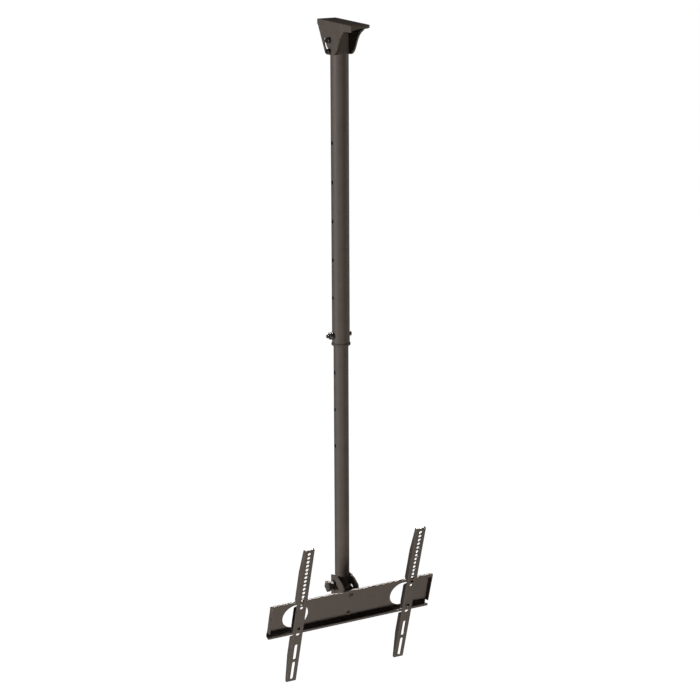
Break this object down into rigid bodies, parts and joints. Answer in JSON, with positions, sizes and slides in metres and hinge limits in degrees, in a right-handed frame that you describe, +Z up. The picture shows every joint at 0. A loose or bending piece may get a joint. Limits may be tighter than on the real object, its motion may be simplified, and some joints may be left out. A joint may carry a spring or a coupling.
{
  "type": "tv ceiling mount",
  "caption": "Ceiling mount for a flat screen: pressed ceiling bracket, telescoping round pole with cross holes, tilting head, wide screen plate and slotted hook arms.",
  "frame": {"origin": "ceiling plane on top of the ceiling bracket, on the pole axis", "axes": "+Z up into the ceiling, -Y towards the screen side, +X along the screen plate to the right as seen from the screen side"},
  "size_m": [0.468, 0.19, 1.7142],
  "materials": {
    "powder_coat": "satin dark bronze-grey powder coat",
    "dark_zinc": "dark zinc plating",
    "bronze_plastic": "fine-grained matte moulding in the tone of the coat",
    "black_plastic": "fine-grained matte moulding",
    "insert_brass": "turned"
  },
  "bodies": {
    "bracket": {"ceiling_bracket": "powder_coat", "ceiling_pivot_bolt": "dark_zinc", "ceiling_pivot_nut": "dark_zinc", "ceiling_pivot_washers": "dark_zinc"},
    "upper_pole": {"upper_tube": "powder_coat", "pole_collar": "bronze_plastic", "ceiling_lock_bolt": "dark_zinc", "ceiling_lock_nut": "dark_zinc", "ceiling_lock_washers": "dark_zinc", "height_bolt": "dark_zinc", "height_nut": "dark_zinc", "height_washer": "dark_zinc"},
    "lower_pole": {"lower_tube": "powder_coat", "guide_bush": "black_plastic", "tilt_lock_bolt": "dark_zinc", "tilt_lock_washers": "dark_zinc"},
    "knob": {"tilt_knob": "bronze_plastic", "knob_insert": "insert_brass"},
    "tv_head": {"tilt_bracket": "powder_coat", "tilt_pivot_bolt": "dark_zinc", "tilt_pivot_nut": "dark_zinc", "tilt_pivot_washers": "dark_zinc", "tv_plate": "powder_coat", "plate_screws": "dark_zinc", "plate_nuts": "dark_zinc"},
    "left_arm": {"arm_left": "powder_coat"},
    "right_arm": {"arm_right": "powder_coat"}
  },
  "joints": [
    {"name": "ceiling_tilt", "type": "hinge", "parent": "bracket", "child": "upper_pole", "pos_m": [0, 0, -0.045], "axis": [1, 0, 0], "range_deg": [0, 65]},
    {"name": "height_slide", "type": "slide", "parent": "upper_pole", "child": "lower_pole", "axis": [0, 0, 1], "range_m": [-0.2943, 0.2943]},
    {"name": "tv_tilt", "type": "hinge", "parent": "lower_pole", "child": "tv_head", "pos_m": [0, 0, -1.5014], "axis": [1, 0, 0], "range_deg": [-21.4, 8.6]},
    {"name": "tilt_knob_turn", "type": "hinge", "parent": "lower_pole", "child": "knob", "pos_m": [0, 0, -1.4664], "axis": [1, 0, 0], "continuous": true},
    {"name": "arm_left_slide", "type": "slide", "parent": "tv_head", "child": "left_arm", "axis": [1, 0, 0], "range_m": [-0.06, 0.1]},
    {"name": "arm_right_slide", "type": "slide", "parent": "tv_head", "child": "right_arm", "axis": [1, 0, 0], "range_m": [-0.115, 0.045]}
  ]
}
